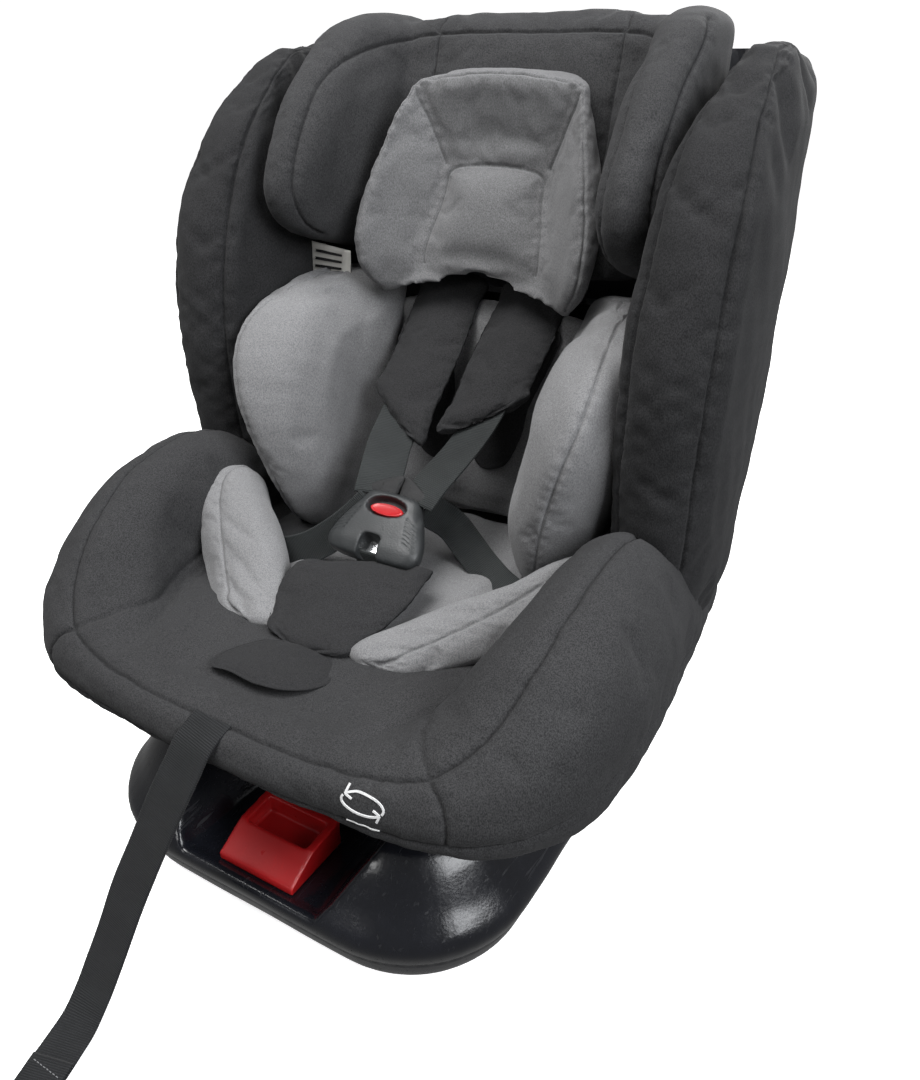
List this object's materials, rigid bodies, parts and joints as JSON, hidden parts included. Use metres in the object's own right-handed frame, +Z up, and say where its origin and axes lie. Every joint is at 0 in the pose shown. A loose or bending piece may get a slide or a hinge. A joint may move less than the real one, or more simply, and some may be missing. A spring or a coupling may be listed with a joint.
{
  "type": "convertible car seat",
  "caption": "Rotating convertible child car seat: base with red rotation handle and anchor arms, turntable, reclining padded seat with harness, sliding headrest.",
  "frame": {"origin": "on the seat's turning axis at the level of the rubber strips that the base stands on, which is also the centre of the bounding box's bottom without the free strap", "axes": "+Z up, -Y towards the seat's front, +X to the right as seen from the front"},
  "size_m": [0.4546, 0.696, 0.594],
  "materials": {
    "black_plastic": "glossy moulded",
    "shell_plastic": "satin moulded",
    "red_plastic": "satin moulded",
    "buckle_plastic": "satin moulded",
    "dark_fabric": "woven melange",
    "seat_fabric": "woven melange",
    "pad_fabric": "soft knit",
    "grey_fabric": "soft melange",
    "webbing": "ribbed webbing",
    "steel": "brushed",
    "rubber": "matte"
  },
  "bodies": {
    "base": {"base_tray": "black_plastic", "base_housing": "black_plastic", "rubber_strip_left": "rubber", "rubber_strip_right": "rubber", "anchor_guide_left": "steel", "anchor_guide_right": "steel", "lower_bearing_race": "steel", "lock_spring": "steel"},
    "rotation_handle": {"rotation_handle": "red_plastic"},
    "lock_pin": {"lock_pin": "steel"},
    "anchor_left": {"anchor_arm_left": "steel"},
    "anchor_right": {"anchor_arm_right": "steel"},
    "release_left": {"anchor_release_left": "red_plastic"},
    "release_right": {"anchor_release_right": "red_plastic"},
    "hook_left": {"anchor_hook_left": "steel"},
    "hook_right": {"anchor_hook_right": "steel"},
    "turntable": {"turntable_disc": "shell_plastic", "centre_pivot": "steel", "upper_bearing_race": "steel", "recline_rail_left": "steel", "recline_rail_right": "steel"},
    "seat": {"seat_shell": "shell_plastic", "back_shell": "shell_plastic", "rear_cover": "shell_plastic", "side_wing_left": "dark_fabric", "side_wing_right": "dark_fabric", "seat_bolster_left": "seat_fabric", "seat_bolster_right": "seat_fabric", "front_roll": "seat_fabric", "seat_cushion": "seat_fabric", "backrest_cushion": "seat_fabric", "torso_insert_left": "grey_fabric", "torso_insert_right": "grey_fabric", "thigh_insert_left": "grey_fabric", "thigh_insert_right": "grey_fabric", "buckle_housing": "buckle_plastic", "harness_tongue_left": "steel", "harness_tongue_right": "steel", "harness_strap_left": "webbing", "harness_strap_right": "webbing", "crotch_pad": "pad_fabric", "crotch_strap": "webbing", "adjuster_housing": "shell_plastic", "adjuster_flap": "pad_fabric", "adjuster_strap": "webbing", "harness_yoke": "steel", "rod_guide": "shell_plastic"},
    "recline_lever": {"recline_lever": "shell_plastic"},
    "buckle_button": {"buckle_button": "red_plastic"},
    "adjuster_button": {"adjuster_button": "steel"},
    "headrest": {"headrest_cushion": "dark_fabric", "headrest_board": "shell_plastic", "head_pillow": "grey_fabric", "headrest_wing_left": "dark_fabric", "headrest_wing_right": "dark_fabric", "headrest_rod_left": "steel", "headrest_rod_right": "steel", "shoulder_pad_left": "pad_fabric", "shoulder_pad_right": "pad_fabric"},
    "headrest_lever": {"headrest_lever": "red_plastic"}
  },
  "joints": [
    {"name": "seat_rotation", "type": "hinge", "parent": "base", "child": "turntable", "pos_m": [0, 0, 0.107], "axis": [0, 0, 1], "continuous": true},
    {"name": "seat_recline", "type": "hinge", "parent": "turntable", "child": "seat", "pos_m": [0, -0.02, 0.56], "axis": [-1, 0, 0], "range_deg": [0, 12]},
    {"name": "headrest_height", "type": "slide", "parent": "seat", "child": "headrest", "axis": [0, 0.3091, 0.951], "range_m": [0, 0.14]},
    {"name": "rotation_release", "type": "slide", "parent": "base", "child": "rotation_handle", "axis": [0, -1, 0], "range_m": [0, 0.015], "stiffness_N_per_m": 300},
    {"name": "lock_pin_travel", "type": "slide", "parent": "base", "child": "lock_pin", "axis": [0, 0, -1], "range_m": [0, 0.011], "deforming": ["lock_spring"]},
    {"name": "anchor_extension_left", "type": "slide", "parent": "base", "child": "anchor_left", "axis": [0, 1, 0], "range_m": [0, 0.12]},
    {"name": "anchor_extension_right", "type": "slide", "parent": "base", "child": "anchor_right", "axis": [0, 1, 0], "range_m": [0, 0.12]},
    {"name": "anchor_release_left", "type": "slide", "parent": "anchor_left", "child": "release_left", "axis": [1, 0, 0], "range_m": [0, 0.0024], "stiffness_N_per_m": 400},
    {"name": "anchor_release_right", "type": "slide", "parent": "anchor_right", "child": "release_right", "axis": [-1, 0, 0], "range_m": [0, 0.0024], "stiffness_N_per_m": 400},
    {"name": "hook_opening_left", "type": "hinge", "parent": "anchor_left", "child": "hook_left", "pos_m": [-0.135, 0.234, 0.0555], "axis": [1, 0, 0], "range_deg": [0, 31]},
    {"name": "hook_opening_right", "type": "hinge", "parent": "anchor_right", "child": "hook_right", "pos_m": [0.135, 0.234, 0.0555], "axis": [1, 0, 0], "range_deg": [0, 31]},
    {"name": "recline_release", "type": "hinge", "parent": "seat", "child": "recline_lever", "pos_m": [0, -0.196, 0.1495], "axis": [-1, 0, 0], "range_deg": [0, 8], "stiffness_Nm_per_rad": 1},
    {"name": "buckle_release", "type": "slide", "parent": "seat", "child": "buckle_button", "axis": [0, 0.6157, -0.788], "range_m": [0, 0.0036], "stiffness_N_per_m": 400},
    {"name": "adjuster_release", "type": "slide", "parent": "seat", "child": "adjuster_button", "axis": [0, 0, -1], "range_m": [0, 0.004], "stiffness_N_per_m": 400},
    {"name": "headrest_release", "type": "slide", "parent": "headrest", "child": "headrest_lever", "axis": [0, 0.3091, 0.951], "range_m": [0, 0.008], "stiffness_N_per_m": 400}
  ],
  "couplings": [
    {"joint": "lock_pin_travel", "follows": "rotation_release", "ratio": 0.66667},
    {"joint": "hook_opening_left", "follows": "anchor_release_left", "rad_per_m": 218.17},
    {"joint": "hook_opening_right", "follows": "anchor_release_right", "rad_per_m": 218.17}
  ]
}
